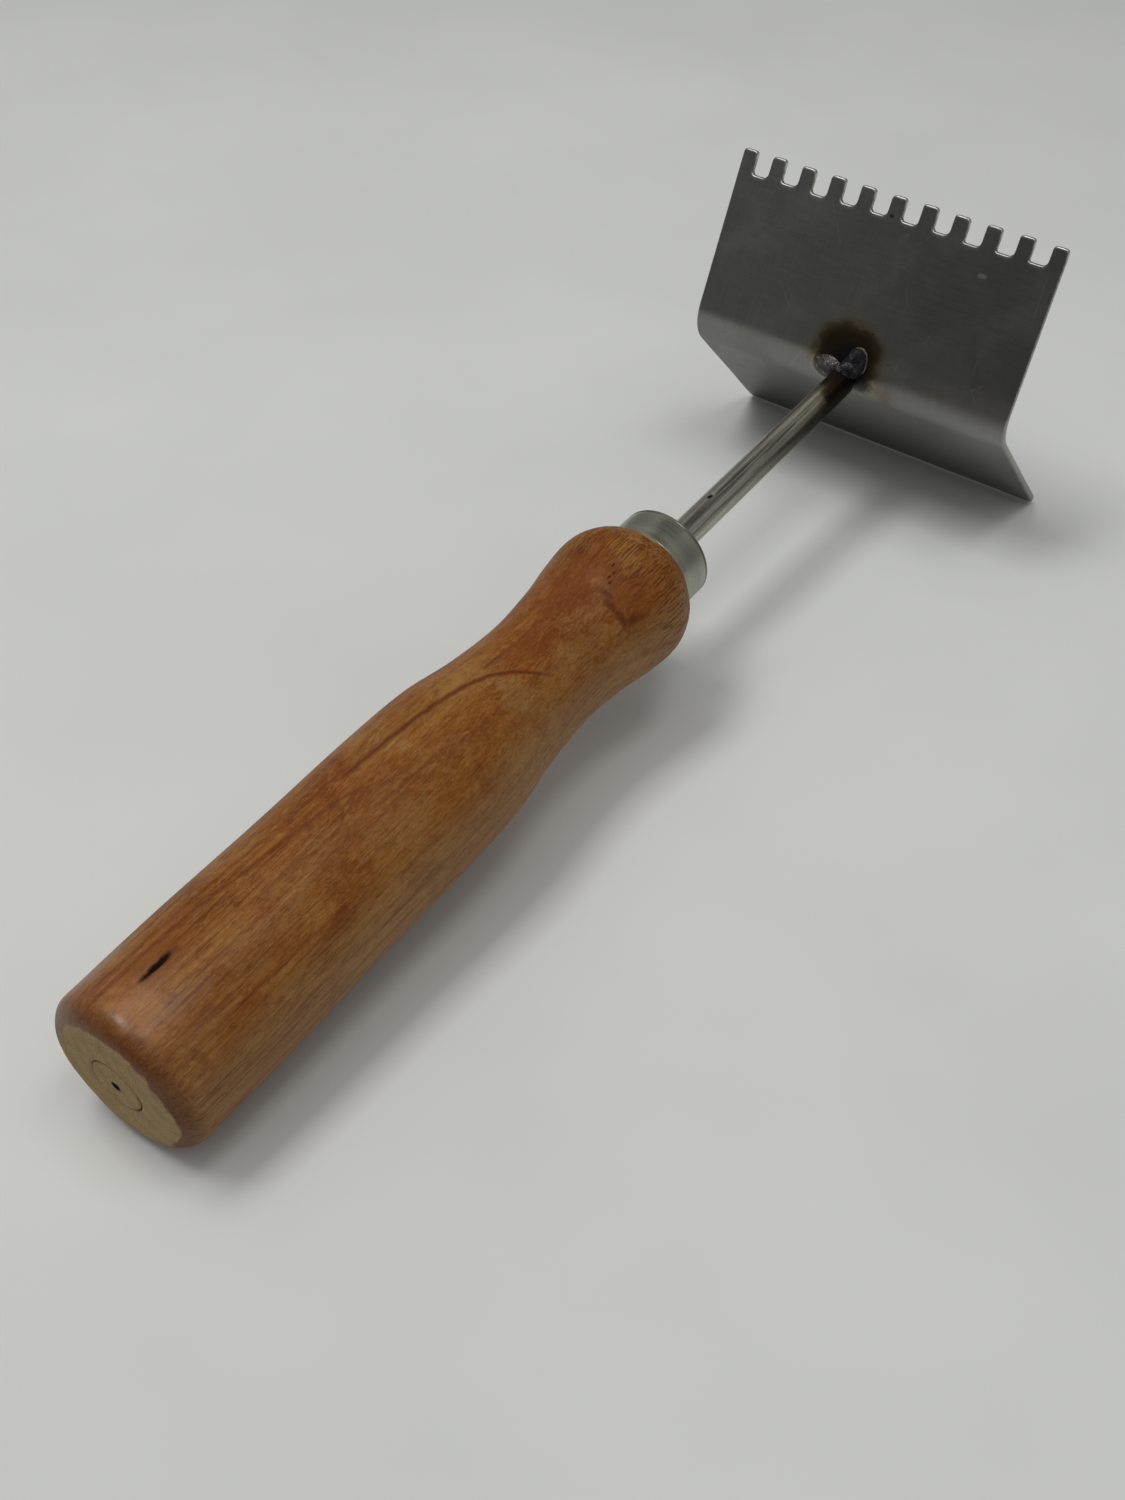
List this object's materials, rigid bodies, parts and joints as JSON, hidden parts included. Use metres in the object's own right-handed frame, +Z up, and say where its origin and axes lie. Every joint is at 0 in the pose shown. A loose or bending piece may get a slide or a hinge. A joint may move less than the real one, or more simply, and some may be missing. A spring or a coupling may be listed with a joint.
{
  "type": "comb-toothed hand scraper",
  "caption": "Hand scraper with a turned wooden handle, metal ferrule, round steel rod and a bent sheet-steel blade with comb teeth on one edge.",
  "frame": {"origin": "bottom centre of the tool's box, on the surface that it lies on", "axes": "+X from the butt towards the blade, +Y across the blade, +Z up from the surface that it lies on"},
  "size_m": [0.2466, 0.0758, 0.0688],
  "materials": {
    "stained_wood": "orange-brown stain under a semi-gloss varnish, bare pale end grain at the butt",
    "plated_ferrule": "satin zinc plating",
    "rod_steel": "drawn, with heat tint near the weld",
    "sheet_steel": "fine brushed mill finish, with heat tint round the weld",
    "bright_weld": "smooth weld puddle",
    "dark_weld": "rough, sooty weld bead"
  },
  "bodies": {
    "root": {"handle": "stained_wood", "ferrule": "plated_ferrule", "shank": "rod_steel", "blade": "sheet_steel", "weld_bead_left": "bright_weld", "weld_bead_right": "dark_weld"}
  },
  "joints": []
}
